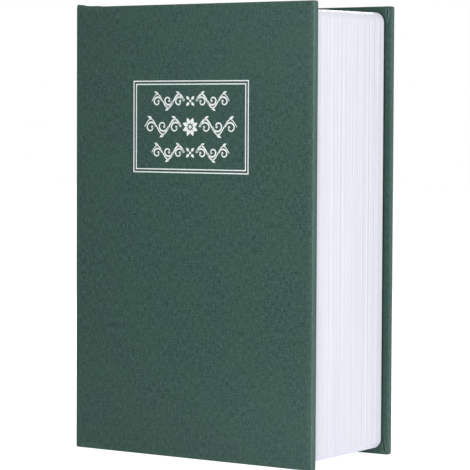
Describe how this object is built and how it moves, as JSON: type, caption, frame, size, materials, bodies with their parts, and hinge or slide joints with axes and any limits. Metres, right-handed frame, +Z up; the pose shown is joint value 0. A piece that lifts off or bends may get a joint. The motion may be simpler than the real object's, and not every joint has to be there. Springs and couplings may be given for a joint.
{
  "type": "book diversion safe",
  "caption": "Cloth-bound hardback book that hides a steel lock box: the front cover opens on a moulded page block with a hinged, keyed steel lid inside.",
  "frame": {"origin": "centre of the base: the book stands upright on its tail, at z = 0", "axes": "+Z up the height of the book, from tail to head; +X from the spine to the fore-edge; +Y from the front cover to the back cover"},
  "size_m": [0.1156, 0.059, 0.18],
  "materials": {
    "book_cloth": "woven, matte",
    "grey_board": "matte",
    "endpaper": "matte",
    "page_plastic": "moulded, ribbed",
    "coated_steel": "powder coat, fine texture",
    "zinc_steel": "bright zinc plate",
    "lock_chrome": "polished",
    "wafer_brass": "stamped"
  },
  "bodies": {
    "case": {"case_cloth": "book_cloth", "back_board": "grey_board", "spine_board": "grey_board", "back_endpaper": "endpaper", "page_block": "page_plastic", "safe_box": "coated_steel", "strike_bracket": "zinc_steel", "box_hinge_leaf": "zinc_steel", "hinge_pin": "zinc_steel", "box_hinge_rivet_1": "zinc_steel", "box_hinge_rivet_2": "zinc_steel", "box_hinge_rivet_3": "zinc_steel"},
    "front_cover": {"front_cover_cloth": "book_cloth", "front_board": "grey_board", "front_endpaper": "endpaper"},
    "lid": {"safe_lid": "coated_steel", "lid_hinge_leaf": "zinc_steel", "lid_hinge_rivet_1": "zinc_steel", "lid_hinge_rivet_2": "zinc_steel", "lid_hinge_rivet_3": "zinc_steel", "lock_housing": "lock_chrome", "lock_washer": "zinc_steel", "lock_nut": "zinc_steel"},
    "lock_cylinder": {"lock_plug": "lock_chrome", "lock_wafer_1": "wafer_brass", "lock_wafer_2": "wafer_brass", "lock_wafer_3": "wafer_brass", "lock_wafer_4": "wafer_brass", "lock_spring_1": "zinc_steel", "lock_spring_2": "zinc_steel", "lock_spring_3": "zinc_steel", "lock_spring_4": "zinc_steel", "lock_cam": "zinc_steel", "cam_screw": "zinc_steel"}
  },
  "joints": [
    {"name": "front_cover_hinge", "type": "hinge", "parent": "case", "child": "front_cover", "pos_m": [-0.05, -0.0297, 0.09], "axis": [0, 0, -1], "range_deg": [0, 180]},
    {"name": "lid_hinge", "type": "hinge", "parent": "case", "child": "lid", "pos_m": [-0.04645, -0.0224, 0.09], "axis": [0, 0, -1], "range_deg": [0, 110]},
    {"name": "lock_turn", "type": "hinge", "parent": "lid", "child": "lock_cylinder", "pos_m": [0.02935, -0.0225, 0.09], "axis": [0, -1, 0], "range_deg": [0, 90]}
  ],
  "couplings": [
    {"joint": "lid_hinge", "follows": "front_cover_hinge", "ratio": 0.6}
  ]
}
